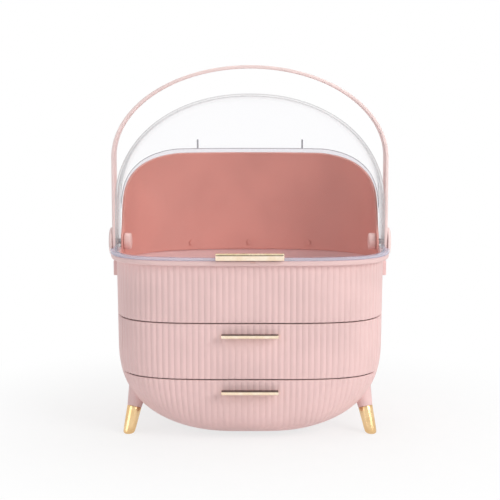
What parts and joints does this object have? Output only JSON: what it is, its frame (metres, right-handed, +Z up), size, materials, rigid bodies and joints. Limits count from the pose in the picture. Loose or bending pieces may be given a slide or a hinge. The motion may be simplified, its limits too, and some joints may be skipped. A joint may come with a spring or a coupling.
{
  "type": "makeup storage case",
  "caption": "Ribbed pink makeup case with a clear tilting dome lid over an open tray, two drawers, gold pulls and feet, and a swinging carrying handle.",
  "frame": {"origin": "centre of the bounding box in X and Y, on the surface the feet stand on", "axes": "+Z up, -Y to the front where the pulls are, +X to the viewer's right"},
  "size_m": [0.3068, 0.2374, 0.3835],
  "materials": {
    "body_plastic": "satin moulded pink plastic with ribs",
    "inner_plastic": "plain moulded pink plastic",
    "handle_plastic": "satin moulded pink plastic",
    "clear_plastic": "clear polished plastic",
    "gold_metal": "polished gold plating",
    "steel": "zinc-plated screws and pins",
    "washer_plastic": "natural nylon washer"
  },
  "bodies": {
    "case": {"lower_housing": "body_plastic", "top_tray": "body_plastic", "leg_front_left": "body_plastic", "leg_front_right": "body_plastic", "leg_rear_left": "body_plastic", "leg_rear_right": "body_plastic", "middle_shelf": "inner_plastic", "upper_runners": "inner_plastic", "lower_rails": "inner_plastic", "back_shell": "inner_plastic", "pivot_nut_left": "inner_plastic", "pivot_nut_right": "inner_plastic", "pivot_cap_left": "handle_plastic", "pivot_cap_right": "handle_plastic", "foot_front_left": "gold_metal", "foot_front_right": "gold_metal", "foot_rear_left": "gold_metal", "foot_rear_right": "gold_metal", "tray_screws": "steel", "shell_screws": "steel", "leg_screws": "steel", "pivot_pin_left": "steel", "pivot_pin_right": "steel"},
    "lid": {"clear_lid": "clear_plastic", "lid_flange": "clear_plastic", "lid_pull": "gold_metal", "lid_pull_screws": "steel"},
    "handle": {"carry_handle": "handle_plastic", "handle_washer_left": "washer_plastic", "handle_washer_right": "washer_plastic"},
    "upper_drawer": {"upper_front": "body_plastic", "upper_drawer_tray": "inner_plastic", "upper_pull": "gold_metal", "upper_pull_screws": "steel"},
    "lower_drawer": {"lower_front": "body_plastic", "lower_drawer_tray": "inner_plastic", "lower_pull": "gold_metal", "lower_pull_screws": "steel"}
  },
  "joints": [
    {"name": "lid_hinge", "type": "hinge", "parent": "case", "child": "lid", "pos_m": [0, 0.0095, 0.1935], "axis": [-1, 0, 0], "range_deg": [0, 75]},
    {"name": "handle_hinge", "type": "hinge", "parent": "case", "child": "handle", "pos_m": [0, 0.0095, 0.1935], "axis": [-1, 0, 0], "range_deg": [-45, 100]},
    {"name": "upper_drawer_slide", "type": "slide", "parent": "case", "child": "upper_drawer", "axis": [0, -1, 0], "range_m": [0, 0.12]},
    {"name": "lower_drawer_slide", "type": "slide", "parent": "case", "child": "lower_drawer", "axis": [0, -1, 0], "range_m": [0, 0.115]}
  ]
}
